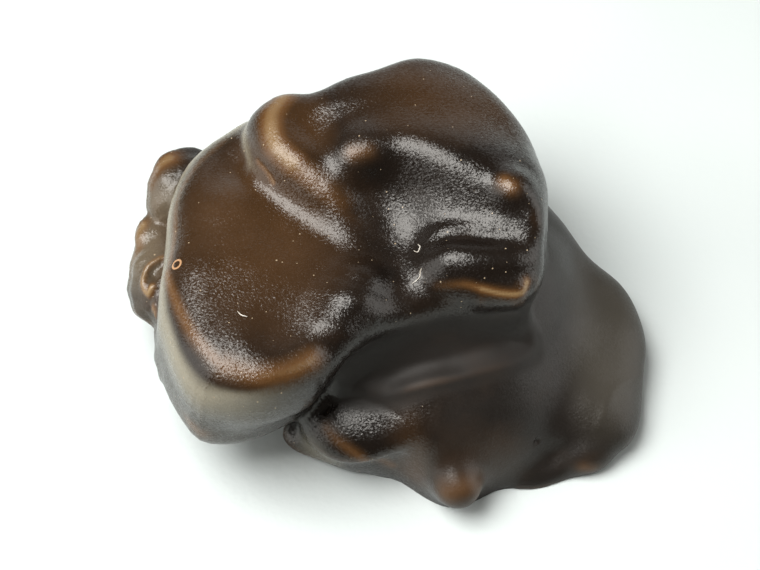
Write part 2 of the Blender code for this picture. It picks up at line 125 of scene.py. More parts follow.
# Skirt: the lower lump at the right and the front
SKIRT_HALF = 6.5
SKIRT_LEVEL = 5.0
SKIRT_EDGE = 1.5
SKIRT_ROUNDING = 1.5
SKIRT_JOINT = 1.6
SKIRT_LOOP = [(11.0, 5.0), (13.2, 3.4), (14.6, 1.2), (15.2, -2.0), (15.0, -5.4), (14.0, -8.4),
              (11.4, -11.0), (9.2, -12.8), (6.8, -13.8), (4.6, -13.7), (2.6, -12.1), (0.9, -10.7),
              (-0.4, -9.4), (0.0, -4.0), (2.0, 4.0), (6.0, 8.0)]
SKIRT_DOME = ((0.0, 3.2, 0.0), (16.7, 17.0, 11.5), (0, 0, 0))
DOME_ROUNDING = 2.0
SKIRT_SLOPES = [((12.9, -1.0, 7.0), (0.85, -0.1, 0.5)), ((0.6, -8.5, 6.0), (-0.75, -0.2, 0.5))]
# Middle lobe: a flat-topped lump at the front, between the wall and the skirt
LOBE_ROUND = ((-1.1, -7.4, 2.8), (4.8, 3.4, 4.8), (0, 0, 0))
LOBE_SLOPES = [((-1.6, -8.2, 6.5), (-0.12, -0.27, 0.95))]
LOBE_ROUNDING = 1.0
LOBE_JOINT = 1.0

# Round lumps: name, centre, half sizes, turn in degrees, softness of the joint to what is there
CORE = [
    ("core", (1.0, 2.0, 5.0), (12.0, 10.5, 7.0), (0, 0, 0), 0.1),
    ("core_left", (-9.5, 2.8, 4.6), (7.0, 7.6, 5.2), (0, 0, 0), 3.0),
    ("back_right", (4.6, 8.6, 5.4), (6.6, 5.6, 6.2), (0, 0, 20), 2.0),
    ("back_left", (-5.6, 8.6, 5.2), (6.2, 5.0, 6.0), (0, 0, -15), 1.6),
    ("back_middle", (-0.2, 11.6, 8.4), (3.2, 2.8, 3.4), (0, 20, 0), 1.4),
    ("back_low", (9.0, 5.0, 3.0), (5.2, 4.8, 4.6), (0, 0, 0), 2.4),
]
BULGES = [
    ("right_bulge", (13.9, -0.9, 2.2), (4.9, 6.3, 2.8), (0, 0, 0), 2.4),
    ("right_low_bulge", (14.5, -5.8, 1.5), (3.9, 3.8, 2.3), (0, 0, 0), 1.8),
    ("right_foot", (14.3, -9.4, 1.0), (1.4, 1.1, 1.2), (0, 0, 0), 1.0),
    ("right_ledge", (11.6, -10.0, 0.0), (2.6, 1.1, 0.8), (0, 0, 25), 1.8),
    ("nose_nub", (5.0, -12.8, 2.8), (1.4, 1.3, 1.3), (0, 0, 0), 2.2),
    ("lobe_top", (-1.6, -8.7, 5.1), (4.0, 2.9, 1.3), (16, -12, 0), 1.2),
    ("middle_foot", (-4.5, -7.7, 1.2), (3.0, 1.8, 1.3), (0, 0, 0), 0.8),
]
FLAKES = [
    ("left_flake", (-16.4, 2.9, 6.0), (2.1, 4.1, 2.4), (0, 14, -4), 0.5),
    ("left_flake_top", (-16.9, 5.2, 7.2), (1.2, 1.6, 0.9), (0, 20, 0), 0.5),
    ("left_chip", (-15.8, 0.6, 7.4), (0.9, 1.6, 0.9), (0, 0, 10), 0.3),
    ("back_flake", (-14.2, 8.7, 8.6), (2.7, 3.0, 1.5), (0, 8, -35), 0.5),
    ("back_flake_left", (-15.7, 7.9, 7.8), (1.5, 2.2, 1.5), (0, 0, -10), 0.5),
    ("left_low_lump", (-14.6, -3.0, 5.6), (1.8, 3.4, 3.0), (0, 0, 0), 1.2),
]
NUBS = [
    ("ridge_nub", (-1.9, 6.7, 15.5), (0.9, 0.9, 0.7), (0, 0, 0), 2.4),
    ("shoulder_nub", (8.5, 3.4, 16.3), (0.8, 0.8, 0.7), (0, 0, 0), 1.6),
    ("wall_nub", (-12.4, -9.0, 5.2), (1.0, 1.0, 1.0), (0, 0, 0), 0.8),
    ("front_swelling", (6.2, -1.0, 12.4), (4.0, 2.4, 2.4), (0, 0, 0), 1.6),
]
# Hollow under the rim: its outline, its depth at the back and the front edge, and the width of its slopes
RECESS_LOOP = [(-2.9, -7.3), (-1.0, -8.0), (1.0, -8.1), (4.5, -7.45), (7.0, -6.6), (8.9, -5.8),
               (10.3, -4.8), (10.5, -3.8), (9.4, -2.8), (6.0, -1.8), (2.2, -2.4), (-1.3, -4.5)]
RECESS_DEPTH = (0.35, 1.05)
RECESS_RAMP = 2.0
# Its middle, the way from its back edge to its front edge, and half its width that way
RECESS_MIDDLE = (3.6, -5.0)
RECESS_FORWARD = (0.31, -0.95)
RECESS_HALF = 2.5
# The hollow gets shallow towards its right end: from where to where, and the share left of its depth
RECESS_END = ((4.5, 9.5), (1.0, 0.45))
# Softness of the joint between the upper and the lower lumps, how much softer it is at the hollow,
# and how far around it
LAYER_JOINT = 1.0
HOLLOW_JOINT = 1.6
HOLLOW_JOINT_REACH = 1.5
# Round hollows: centre, half sizes, turn, softness
GULLY = ((0.8, 0.9, 19.0), (4.1, 5.8, 5.3), (0, 0, 23), 1.8)
DIMPLE = ((-6.4, -6.6, 16.4), (1.8, 2.4, 1.7), (0, 0, 0), 2.0)
# Bars: points of the line, radius at each point, softness
CREST = ([(-3.0, -5.6, 12.5), (-1.2, -4.6, 12.2), (1.4, -3.3, 11.8), (4.6, -2.4, 11.8)],
         [1.2, 1.4, 1.4, 1.3], 1.5)
FOLD = ([(-4.2, -7.1, 12.2), (-3.2, -5.6, 12.8), (-2.5, -4.2, 13.2), (-2.0, -2.9, 13.2)],
        [1.2, 1.7, 1.8, 1.4], 1.8)
LIP = ([(-6.8, 10.5, 14.6), (-7.7, 9.4, 14.7), (-7.5, 8.2, 14.8), (-7.0, 7.2, 14.8), (-6.1, 6.3, 14.6),
        (-4.3, 4.7, 14.0), (-2.3, 3.2, 13.2)], [1.2, 1.3, 1.3, 1.25, 1.2, 1.0, 0.5], 1.4)
RIM = ([(3.6, -2.3, 13.2), (4.6, -2.3, 13.2), (6.6, -2.8, 13.2), (8.6, -2.9, 13.2), (9.4, -2.2, 13.1)],
       [0.5, 0.7, 0.9, 0.9, 0.6], 0.8)


def to_frame(p, centre, turn):
    """Points seen from a lump's own frame."""
    matrix = np.array(Euler([math.radians(a) for a in turn], "XYZ").to_matrix())
    return (p - np.asarray(centre)) @ matrix


def pebble(p, centre, half, turn):
    """Distance to an ellipsoid: its implicit value divided by the length of its slope."""
    q = to_frame(p, centre, turn)
    half = np.asarray(half, float)
    k0 = np.linalg.norm(q / half, axis=1)
    k1 = np.linalg.norm(q / half ** 2, axis=1) + 1e-6
    return np.where(k0 < 0.05, -half.min(), k0 * (k0 - 1) / k1)


def bar(p, points, radii):
    """Distance to a round bar along a line whose radius changes from point to point."""
    best = np.full(len(p), 1e9)
    points = np.asarray(points, float)
    for a, b, ra, rb in zip(points[:-1], points[1:], radii[:-1], radii[1:]):
        ab = b - a
        t = np.clip((p - a) @ ab / (ab @ ab), 0, 1)
        best = np.minimum(best, np.linalg.norm(p - a - t[:, None] * ab, axis=1) - (ra + (rb - ra) * t))
    return best


def spline(points, steps, closed):
    """Catmull-Rom curve through the points, each span cut into the given number of steps."""
    p = np.asarray(points, float)
    count = len(p)
    if not closed:
        p = np.vstack([2 * p[0] - p[1], p, 2 * p[-1] - p[-2]])
    spans = range(count) if closed else range(1, count)
    out = []
    for i in spans:
        a, b, c, d = (p[j % len(p)] for j in (i - 1, i, i + 1, i + 2))
        for t in np.arange(steps) / steps:
            out.append(0.5 * (2 * b + (c - a) * t + (2 * a - 5 * b + 4 * c - d) * t ** 2
                              + (3 * b - a - 3 * c + d) * t ** 3))
    if not closed:
        out.append(p[-2])
    return np.array(out)


def outline_distance(xy, loop):
    """Distance in the plane to a closed line, negative inside it."""
    best = np.full(len(xy), 1e9)
    inside = np.zeros(len(xy), bool)
    for a, b in zip(loop, np.roll(loop, -1, axis=0)):
        e = b - a
        w = xy - a
        t = np.clip((w @ e) / (e @ e), 0, 1)
        best = np.minimum(best, ((w - t[:, None] * e) ** 2).sum(1))
        crosses = (a[1] <= xy[:, 1]) != (b[1] <= xy[:, 1])
        rise = e[1] if abs(e[1]) > 1e-9 else 1e-9
        inside ^= crosses & (xy[:, 0] < a[0] + (xy[:, 1] - a[1]) * e[0] / rise)
    return np.where(inside, -np.sqrt(best), np.sqrt(best))


def slab(p, level, loop, half, edge, turn, lean=0.0):
    """Distance to a plate of the given outline, its rims rounded to edge; lean draws it in downwards."""
    q = to_frame(p, (0, 0, level), turn)
    side = outline_distance(q[:, :2], loop) + edge - lean * np.minimum(q[:, 2], 0)
    flat = np.abs(q[:, 2]) - (half - edge)
    outside = np.hypot(np.maximum(side, 0), np.maximum(flat, 0))
    return np.minimum(np.maximum(side, flat), 0) + outside - edge


def soft_min(a, b, k):
    """The smaller of two distances, with a fillet of about the size k where they meet."""
    h = np.maximum(k - np.abs(a - b), 0) / k
    return np.minimum(a, b) - h * h * k * 0.25


def ease(t):
    """Goes from 0 to 1 with level ends while t goes from 0 to 1."""
    t = np.clip(t, 0, 1)
    return t * t * (3 - 2 * t)


def soft_max(a, b, k):
    """The larger of two distances, rounded over where they meet."""
    return -soft_min(-a, -b, k)


def slopes(p, faces, k):
    """Distance to the space under all of the given planes, each a point and an outward direction."""
    d = None
    for point, out in faces:
        side = (p - np.asarray(point)) @ (np.asarray(out) / np.linalg.norm(out))
        d = side if d is None else soft_max(d, side, k)
    return d


def waves(p):
    """Slow unevenness of a poured coat: the sum of crossing sine waves."""
    k = 2 * math.pi / WAVE_LENGTH
    return WAVE_HEIGHT * sum(np.sin(k * (p @ np.array(way)) + phase) for way, phase in WAVES)


SLAB, WALL, WING, TOP, SKIRT, HOLLOW = (
    spline(loop, LOOP_STEPS, True)
    for loop in (SLAB_LOOP, WALL_LOOP, WING_LOOP, TOP_LOOP, SKIRT_LOOP, RECESS_LOOP))


def melt(d, p, lumps):
    """Adds round lumps one after the other, each with its own softness."""
    for name, centre, half, turn, k in lumps:
        lump = pebble(p, centre, half, turn)
        d = lump if d is None else soft_min(d, lump, k)
    return d


def press(d, p, hollow):
    """Presses one round hollow into the form."""
    centre, half, turn, k = hollow
    return soft_max(d, -pebble(p, centre, half, turn), k)


def hollow_depth(p):
    """Depth of the hollow under the rim: grows from its back edge to its front edge, less at the right."""
    forward = (p[:, :2] - np.asarray(RECESS_MIDDLE)) @ np.asarray(RECESS_FORWARD)
    return np.interp(forward, (-RECESS_HALF, RECESS_HALF), RECESS_DEPTH) * np.interp(p[:, 0], *RECESS_END)


def coat(p):
    """Signed distance to the outside of the chocolate in millimetres, negative inside."""
    low = melt(None, p, CORE)
    skirt = slab(p, SKIRT_LEVEL, SKIRT, SKIRT_HALF, SKIRT_EDGE, (0, 0, 0))
    skirt = soft_max(skirt, slopes(p, SKIRT_SLOPES, SKIRT_ROUNDING), SKIRT_ROUNDING)
    skirt = soft_max(skirt, pebble(p, *SKIRT_DOME), DOME_ROUNDING)
    lobe = soft_max(pebble(p, *LOBE_ROUND), slopes(p, LOBE_SLOPES, LOBE_ROUNDING), LOBE_ROUNDING)
    low = melt(soft_min(soft_min(low, lobe, LOBE_JOINT), skirt, SKIRT_JOINT), p, BULGES)
    from_hollow = outline_distance(p[:, :2], HOLLOW)
    low = low + hollow_depth(p) * ease(-from_hollow / RECESS_RAMP)
    up = slab(p, SLAB_LEVEL, SLAB, SLAB_HALF, SLAB_EDGE, SLAB_TURN, SLAB_LEAN)
    up = soft_max(up, slopes(p, SLAB_SLOPES, SLAB_ROUNDING), SLAB_ROUNDING)
    up = soft_min(up, slab(p, WALL_LEVEL, WALL, WALL_HALF, WALL_EDGE, WALL_TURN), WALL_JOINT)
    up = press(up, p, DIMPLE)
    mass = slab(p, TOP_LEVEL, TOP, TOP_HALF, TOP_EDGE, TOP_TURN)
    mass = soft_max(slopes(p, TOP_SLOPES, RIDGE_ROUNDING), mass, TOP_ROUNDING)
    wing = slab(p, WING_LEVEL, WING, WING_HALF, WING_EDGE, WING_TURN, WING_LEAN)
    mass = soft_min(mass, wing, WING_JOINT)
    root = slab(p, WING_ROOT_LEVEL, WING, WING_ROOT_HALF, WING_ROOT_EDGE, WING_TURN, WING_ROOT_LEAN)
    up = soft_min(soft_min(up, root, WING_JOINT), mass, TOP_JOINT)
    up = press(up, p, GULLY)
    for points, radii, k in (CREST, FOLD, LIP):
        up = soft_min(up, bar(p, points, radii), k)
    up = melt(up, p, NUBS)
    up = soft_min(up, bar(p, RIM[0], RIM[1]), RIM[2])
    joint = LAYER_JOINT + HOLLOW_JOINT * ease(1 - from_hollow / HOLLOW_JOINT_REACH)
    return melt(soft_min(low, up, joint), p, FLAKES) + waves(p)


# Lines that both the relief and the colour follow: the curled chip's edge and root, and a crack in the wing
CHIP_EDGE = [(-15.9, 2.5, 8.3), (-16.8, 1.8, 8.3), (-17.15, 0.65, 8.2), (-16.8, -0.2, 8.0),
             (-16.3, 0.3, 8.1)]
CHIP_ROOT = [(-16.6, -1.3, 7.4), (-16.2, -0.9, 7.6), (-15.9, -1.5, 7.2)]
WING_CRACK = [(-8.9, 6.5, 14.9), (-8.3, 5.7, 14.9), (-7.8, 4.9, 14.6)]
# Fine relief: name, points of the line, half width, height in millimetres (negative is a groove)
CREASES = [
    ("face_swelling", [(4.4, -1.2, 14.6), (6.4, -1.4, 14.8), (8.4, -1.4, 14.6)], 1.5, 0.60),
    ("chip_edge", CHIP_EDGE, 0.26, 0.24),
    ("chip_root", CHIP_ROOT, 0.22, 0.18),
    ("recess_bead", [(-2.9, -7.1, 7.6), (0.2, -7.7, 7.7), (4.3, -7.3, 8.7), (8.5, -5.9, 8.1),
                     (10.0, -4.6, 7.7), (10.3, -3.4, 8.2)], 0.50, 0.10),
    ("lobe_crease", [(-3.8, -7.5, 6.8), (-1.1, -8.0, 6.9), (1.0, -9.1, 6.8)], 0.30, -0.06),
    ("lobe_crease_short", [(-4.4, -8.4, 5.8), (-3.2, -7.9, 6.5), (-1.4, -7.8, 7.1)], 0.24, -0.04),
    ("low_bulge_crease", [(18.1, -3.7, 2.6), (16.0, -5.9, 3.9), (15.1, -8.2, 3.5)], 0.45, 0.07),
    ("wing_crack", WING_CRACK, 0.16, -0.10),
]
# Where one layer of the pour stopped over another: name, points from left to right, half width, height
FOLD_LINES = [
    ("face_fold", [(2.0, -0.3, 13.7), (2.8, 0.2, 14.1), (3.9, 0.55, 14.5), (5.6, 0.66, 14.8),
                   (7.1, 0.51, 15.0), (8.1, 0.18, 15.0), (8.8, -0.4, 14.9)], 0.82, 0.42),
]
# Share of a fold's length over which it runs out at each end
FOLD_END = 0.3
# A small bubble's pit, with a rim round it
SMALL_BUBBLE = (-2.9, 8.5, 16.3)
# Small rings: name, centre, radius, half width, height
RINGS = [
    ("bubble_rim", SMALL_BUBBLE, 0.18, 0.09, 0.06),
]
# Small pits and stuck grains: name, centre, half width, height
PITS = [
    ("chip_cup", (-16.4, 1.2, 8.3), 0.42, -0.30),
    ("bubble_middle", SMALL_BUBBLE, 0.12, -0.14),
    ("skirt_pit", (10.6, -9.3, 3.2), 0.20, -0.22),
    ("left_grain", (-7.4, -4.1, 14.5), 0.10, 0.06),
    ("front_grain", (-8.3, -7.4, 14.8), 0.12, 0.07),
    ("saddle_grain", (-0.8, -3.2, 14.5), 0.10, 0.07),
]
# Crumpled flakes: height of the folds, how far they reach off a flake, each wave's direction and length
CRUMPLE_HEIGHT = 0.16
CRUMPLE_REACH = 0.7
CRUMPLE_WAVES = [((0.9, 0.3, 0.5), 2.1), ((-0.4, 0.8, 0.6), 1.6), ((0.2, -0.6, 1.0), 1.3)]
# A burst bubble that left a thin tan ring: its centre, radius and half the width of its line,
# the share of that width with full colour, and the ring's strength
BUBBLE = (-14.3, -1.4, 14.5)
BUBBLE_RADIUS = 0.34
BUBBLE_LINE = 0.10
BUBBLE_CORE = 0.4
BUBBLE_STRENGTH = 0.9
# Where the coat ran thin over a nut or a rim: name, points of the line, half width, strength at both ends
THIN_LINES = [
    ("wing_lip", [(-7.2, 11.3, 15.9), (-7.9, 9.6, 16.2), (-7.9, 8.0, 16.2), (-7.5, 6.8, 16.1),
                  (-6.4, 5.7, 15.8)], 1.15, (0.80, 0.85)),
    ("wing_tip", [(-6.4, 5.7, 15.8), (-4.9, 4.4, 15.4), (-3.3, 3.1, 14.9)], 1.1, (0.75, 0.40)),
    ("wing_end", [(-3.5, 2.8, 14.8), (-2.0, 1.9, 14.1)], 0.7, (0.35, 0.10)),
    ("wing_crack", WING_CRACK, 0.30, (0.60, 0.75)),
    ("ridge_nub", [(-2.3, 6.0, 16.7), (-1.3, 6.1, 16.8)], 0.60, (0.60, 0.40)),
    ("shoulder_nub", [(8.0, 3.4, 17.0), (8.4, 3.0, 17.1)], 0.60, (0.75, 0.75)),
    ("slab_back_rim", [(-11.6, 9.7, 12.8), (-13.1, 7.9, 13.0), (-14.3, 5.8, 13.2), (-14.8, 4.0, 13.1),
                       (-14.7, 1.3, 13.4), (-14.9, -1.0, 13.8)], 0.45, (0.30, 0.60)),
    ("slab_rim", [(-15.0, -1.7, 13.7), (-14.3, -3.8, 14.2), (-12.9, -7.0, 14.8),
                  (-10.6, -9.7, 14.9)], 0.55, (0.70, 0.60)),
    ("slab_front_rim", [(-10.6, -9.5, 15.1), (-8.4, -10.2, 14.9), (-6.4, -9.8, 14.6),
                        (-4.8, -8.7, 14.2)], 0.90, (0.60, 0.70)),
    ("top_rim", [(3.4, -2.9, 13.9), (5.2, -3.0, 14.3), (6.4, -3.3, 14.2)], 0.30, (0.15, 0.80)),
    ("top_rim_right", [(6.4, -3.3, 14.2), (7.9, -3.5, 13.9), (9.1, -3.3, 13.7),
                       (9.4, -2.6, 13.9)], 0.32, (0.90, 1.00)),
    ("nose", [(4.3, -13.5, 3.7), (5.4, -13.3, 4.1), (6.5, -12.8, 3.4)], 1.2, (0.45, 0.50)),
    ("lobe_rim", [(-4.1, -9.4, 5.6), (-3.5, -10.1, 5.4), (-2.6, -10.7, 5.1), (-1.4, -11.1, 4.4),
                  (0.4, -10.9, 2.6)], 0.45, (0.50, 0.60)),
    ("lobe_foot", [(-5.9, -9.2, 0.9), (-4.5, -10.0, 0.7)], 0.40, (0.60, 0.30)),
    ("skirt_flank", [(1.6, -9.8, 6.6), (1.9, -10.9, 5.0), (1.9, -11.4, 2.3)], 1.3, (0.12, 0.28)),
    ("right_foot", [(14.0, -10.5, 1.4), (14.6, -10.5, 1.2)], 0.55, (0.45, 0.45)),
    ("wall_nub", [(-13.3, -10.4, 8.3), (-12.6, -11.0, 8.0)], 0.80, (0.55, 0.55)),
    ("back_flake", [(-15.6, 9.9, 9.8), (-16.4, 9.1, 9.6), (-16.9, 8.1, 9.2)], 1.0, (0.85, 0.55)),
    ("left_flake", [(-17.5, 5.6, 7.9), (-17.9, 3.8, 7.9), (-18.0, 1.8, 7.2)], 0.8, (0.90, 0.35)),
    ("left_flake_low", [(-17.7, -0.4, 5.6), (-17.1, -1.5, 5.2)], 0.7, (0.60, 0.50)),
    ("chip_edge", CHIP_EDGE, 0.32, (0.75, 1.00)),
    ("chip_root", CHIP_ROOT, 0.26, (0.70, 0.80)),
]
# Broad regions of thinner, browner coat: how far out they reach in half sizes; centre, half sizes, strength
BROWN_END = 1.25
BROWN_REGIONS = [
    ((-9.0, 1.5, 14.2), (7.5, 11.0, 3.2), 0.34),
    ((4.0, 11.0, 15.5), (8.0, 5.0, 4.0), 0.26),
    ((7.0, -12.0, 4.5), (5.0, 3.5, 4.0), 0.14),
    ((-6.0, 8.5, 15.5), (3.0, 4.0, 2.5), 0.32),
    ((-16.5, 5.0, 7.5), (3.0, 7.0, 4.0), 0.34),
]
# Edges that ran thin by themselves: strength, the distance that a bend is measured over, and the bends
# per millimetre between which the coat gets thin
BEND_THIN = 0.22
BEND_REACH = 0.6
BEND_RANGE = (0.5, 1.7)
# Painted reflection of the white table and walls on the steep sides at the left: a pale grey put into the
# coat's colour where they would mirror. Its strength, how steep a side must be, the height of its upper
# end, where it begins and is full from right to left, and the heights between which it grows from the share
# that is there low down
REFLECTION_PAINT = 0.80
REFLECTION_FACING = (0.72, 0.38)
REFLECTION_TOP = (14.9, 14.0)
REFLECTION_ACROSS = (-4.5, -12.5)
REFLECTION_GROWTH = (9.5, 13.6)
REFLECTION_LOW = 0.12
# Painted reflection and painted glare elsewhere: how far out the regions reach in half sizes; centre, half
# sizes, strength; and a line's name, points, half width, strength
REFLECTION_END = 1.3
REFLECTION_REGIONS = [
    ((-17.2, 3.6, 7.2), (2.4, 3.6, 3.6), 0.42),
    ((-15.6, 7.0, 8.6), (2.4, 2.6, 2.0), 0.38),
    ((15.8, -2.0, 4.0), (3.4, 8.0, 4.5), 0.12),
    ((-4.6, -9.6, 2.6), (2.2, 1.8, 2.2), 0.35),
]
REFLECTION_LINES = [
    ("slab_back_side", [(-9.6, 11.2, 12.4), (-12.1, 10.6, 11.9), (-13.7, 9.0, 11.9), (-14.8, 6.6, 12.0),
                        (-15.1, 4.6, 12.2), (-15.2, 2.2, 12.0), (-15.4, -0.8, 12.2)], 0.85, 0.80),
]
# Where the coat is smooth and dull: in the hollow under the rim, with how far past its outline and up to
# which height, and on the low skirt at the right, with where it begins and is full and up to which height
DULL_HOLLOW = 1.0
DULL_PAST = 1.2
DULL_HOLLOW_HEIGHT = (12.5, 11.0)
DULL_SKIRT = 0.55
DULL_ACROSS = (1.5, 5.0)
DULL_HEIGHT = (11.0, 9.0)
# Share of the grain and of the crystals' lean that is left where the coat is fully dull,
# and the dullness past which it has no pale crystals
DULL_SHARE = 0.15
DULL_BARE = 0.4
# Points on the coat: step of the slope's differences, the longest move at once, moves for a skin and a line
SLOPE_STEP = 0.04
LONGEST_MOVE = 0.6
SKIN_MOVES = 3
LINE_MOVES = 4
# Points lower than this belong to the flat foot
FOOT_LEVEL = 0.02


def climb(p, here):
    """Direction in which the coat's distance grows: forward differences from the value at each point."""
    return np.stack([coat(p + shift) - here for shift in SLOPE_STEP * np.eye(3)], axis=1) / SLOPE_STEP


def draw_onto_coat(p, moves):
    """Moves points by distance over slope, which lands them on the coat, and gives the way out too."""
    for move in range(moves):
        here = coat(p)
        grow = climb(p, here)
        length = np.linalg.norm(grow, axis=1) + 1e-6
        p = p - grow * (np.clip(here / length, -LONGEST_MOVE, LONGEST_MOVE) / length)[:, None]
    return p, grow / length[:, None]


def landed(point):
    """One point drawn onto the coat."""
    return draw_onto_coat(np.array([point]), LINE_MOVES)[0][0]


def on_coat(points):
    """A smoothed line through the points, drawn onto the coat; a line of two gets its middle as well."""
    if len(points) == 2:
        points = [points[0], tuple((np.asarray(points[0]) + np.asarray(points[1])) / 2), points[1]]
    return draw_onto_coat(spline(points, LINE_STEPS, False), LINE_MOVES)[0]


def line_reach(p, points):
    """Nearest place on a broken line: distance, share of the way along it, the gap, the direction."""
    best = np.full(len(p), 1e9)
    share = np.zeros(len(p))
    gap, way = np.zeros_like(p), np.zeros_like(p)
    ends = np.concatenate([[0], np.cumsum(np.linalg.norm(np.diff(points, axis=0), axis=1))])
    ends /= ends[-1]
    for a, b, start, end in zip(points[:-1], points[1:], ends[:-1], ends[1:]):
        ab = b - a
        t = np.clip((p - a) @ ab / (ab @ ab + 1e-9), 0, 1)
        off = p - a - t[:, None] * ab
        far = np.linalg.norm(off, axis=1)
        closer = far < best
        best[closer] = far[closer]
        share[closer] = (start + t * (end - start))[closer]
        gap[closer] = off[closer]
        way[closer] = ab / (np.linalg.norm(ab) + 1e-9)
    return best, share, gap, way


def line_distance(p, points):
    """Distance from each point to the nearest place on a broken line."""
    return line_reach(p, points)[0]


def bell(t):
    """Bell curve of the distance t, counted in half widths: e to the power of minus t squared."""
    return np.exp(-t * t)


def fold_wave(t):
    """A wave of straight flanks and sharp folds: 1 at whole numbers, minus 1 half way between them."""
    return np.abs(np.mod(t, 1.0) - 0.5) * 4 - 1


def crumple(p):
    """Height of the flakes' creased skin: the mean of folded waves, only close to the flakes."""
    near = np.min([pebble(p, centre, half, turn) for name, centre, half, turn, k in FLAKES], axis=0)
    folds = [fold_wave(p @ (np.asarray(way) / np.linalg.norm(way)) / length)
             for way, length in CRUMPLE_WAVES]
    return CRUMPLE_HEIGHT * np.mean(folds, axis=0) * ease(1 - near / CRUMPLE_REACH)


def fold_height(p, out, points, half_width, rise):
    """A fold across a line: rise * t * e to the minus t squared, t uphill from the line in half widths."""
    distance, share, gap, way = line_reach(p, on_coat(points))
    t = (gap * np.cross(out, way)).sum(axis=1) / half_width
    sideways = np.maximum(distance ** 2 - (t * half_width) ** 2, 0)
    ends = ease(share / FOLD_END) * ease((1 - share) / FOLD_END)
    return rise * t * bell(t) * ends * bell(np.sqrt(sideways) / half_width)


def relief(p, out):
    """Height of the fine relief in millimetres: bells along creases, rings and pits, plus folds."""
    height = crumple(p)
    for name, points, half_width, rise in FOLD_LINES:
        height += fold_height(p, out, points, half_width, rise)
    for name, points, half_width, rise in CREASES:
        height += rise * bell(line_distance(p, on_coat(points)) / half_width)
    for name, centre, radius, half_width, rise in RINGS:
        height += rise * bell((np.linalg.norm(p - landed(centre), axis=1) - radius) / half_width)
    for name, centre, half_width, rise in PITS:
        height += rise * bell(np.linalg.norm(p - landed(centre), axis=1) / half_width)
    return height


def bend_of(p):
    """How sharply the coat bends outwards, per millimetre: 6 times the mean distance at four corners around
    a point of the coat, over the square of their distance to it."""
    corners = np.array([(1, 1, 1), (1, -1, -1), (-1, 1, -1), (-1, -1, 1)]) * BEND_REACH / math.sqrt(3)
    return 6 * np.mean([coat(p + corner) for corner in corners], axis=0) / BEND_REACH ** 2


def region(p, centre, half, end):
    """1 inside an ellipsoid and 0 outside: end minus the distance from its centre in half sizes, eased."""
    return ease(end - np.linalg.norm((p - np.asarray(centre)) / np.asarray(half), axis=1))


def between(value, ends):
    """0 at the first of two ends and 1 at the second, eased."""
    return ease((value - ends[0]) / (ends[1] - ends[0]))


def thinness(p):
    """0 to 1 where the coat ran thin: the largest of broad regions, named lines and sharp outward bends."""
    thin = BEND_THIN * between(bend_of(p), BEND_RANGE)
    for centre, half, strength in BROWN_REGIONS:
        thin = np.maximum(thin, strength * region(p, centre, half, BROWN_END))
    for name, points, half_width, (first, last) in THIN_LINES:
        distance, share, gap, way = line_reach(p, on_coat(points))
        thin = np.maximum(thin, (first + (last - first) * share) * bell(distance / half_width))
    return thin


def painted_reflection(p, out):
    """0 to 1 where a painted reflection of the white table and walls lightens the coat: steep sides at the
    left, round regions and lines.
    """
    pale = REFLECTION_PAINT * between(out[:, 2], REFLECTION_FACING) * between(p[:, 2], REFLECTION_TOP)
    pale *= between(p[:, 0], REFLECTION_ACROSS)
    pale *= REFLECTION_LOW + (1 - REFLECTION_LOW) * between(p[:, 2], REFLECTION_GROWTH)
    for centre, half, strength in REFLECTION_REGIONS:
        pale = np.maximum(pale, strength * region(p, centre, half, REFLECTION_END))
    for name, points, half_width, strength in REFLECTION_LINES:
        pale = np.maximum(pale, strength * bell(line_distance(p, on_coat(points)) / half_width))
    return pale


def dullness(p):
    """0 to 1 where the coat is smooth and dull: in the hollow under the rim, and low down at the right."""
    hollow = ease(DULL_PAST - outline_distance(p[:, :2], HOLLOW)) * between(p[:, 2], DULL_HOLLOW_HEIGHT)
    skirt = between(p[:, 0], DULL_ACROSS) * between(p[:, 2], DULL_HEIGHT)
    return np.maximum(DULL_HOLLOW * hollow, DULL_SKIRT * skirt)


def read_points(mesh):
    """The mesh's points as an array with three columns."""
    flat = np.empty(len(mesh.vertices) * 3)
    mesh.vertices.foreach_get("co", flat)
    return flat.reshape(-1, 3)


def fine_copy(source, cuts):
    """A welded copy of a mesh of loose triangles, each edge cut into cuts + 1 parts."""
    bm = bmesh.new()
    bm.from_mesh(source)
    bmesh.ops.remove_doubles(bm, verts=bm.verts, dist=1e-6)
    bmesh.ops.subdivide_edges(bm, edges=bm.edges, cuts=cuts, use_grid_fill=True)
    mesh = bpy.data.meshes.new("praline_coat")
    bm.to_mesh(mesh)
    bm.free()
    return mesh


def coat_mesh(settings):
    """The poured coat: the solid's skin cut finer, drawn onto the form, then raised by the relief."""
    mesh = fine_copy(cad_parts["praline"].data, settings.cuts)
    start = read_points(mesh) / MM + FRAME_CENTRE
    p, out = draw_onto_coat(start, SKIN_MOVES)
    thin = thinness(p)
    # The painted_reflection attribute is painted reflection and glare, left off where the coat is thin
    looks = {"thin": thin, "painted_reflection": painted_reflection(p, out) * (1 - thin), "dull": dullness(p)}
    p += out * relief(p, out)[:, None]
    foot = start[:, 2] < FOOT_LEVEL
    p[foot] = start[foot]
    p[:, 2] = np.maximum(p[:, 2], 0.0)
    mesh.vertices.foreach_set("co", ((p - FRAME_CENTRE) * MM).ravel())
    for name, values in looks.items():
        mesh.attributes.new(name, "FLOAT", "POINT").data.foreach_set("value", values)
    mesh.update()
    mesh.shade_smooth()
    return mesh


def grid_faces(rows, columns, first):
    """Corner numbers of the quads between the rows of a grid whose rows close on themselves."""
    row, column = np.meshgrid(np.arange(rows - 1), np.arange(columns), indexing="ij")
    across = (column + 1) % columns
    quads = np.stack([row * columns + column, row * columns + across, (row + 1) * columns + across,
                      (row + 1) * columns + column], axis=-1)
    return (quads.reshape(-1, 4) + first).tolist()


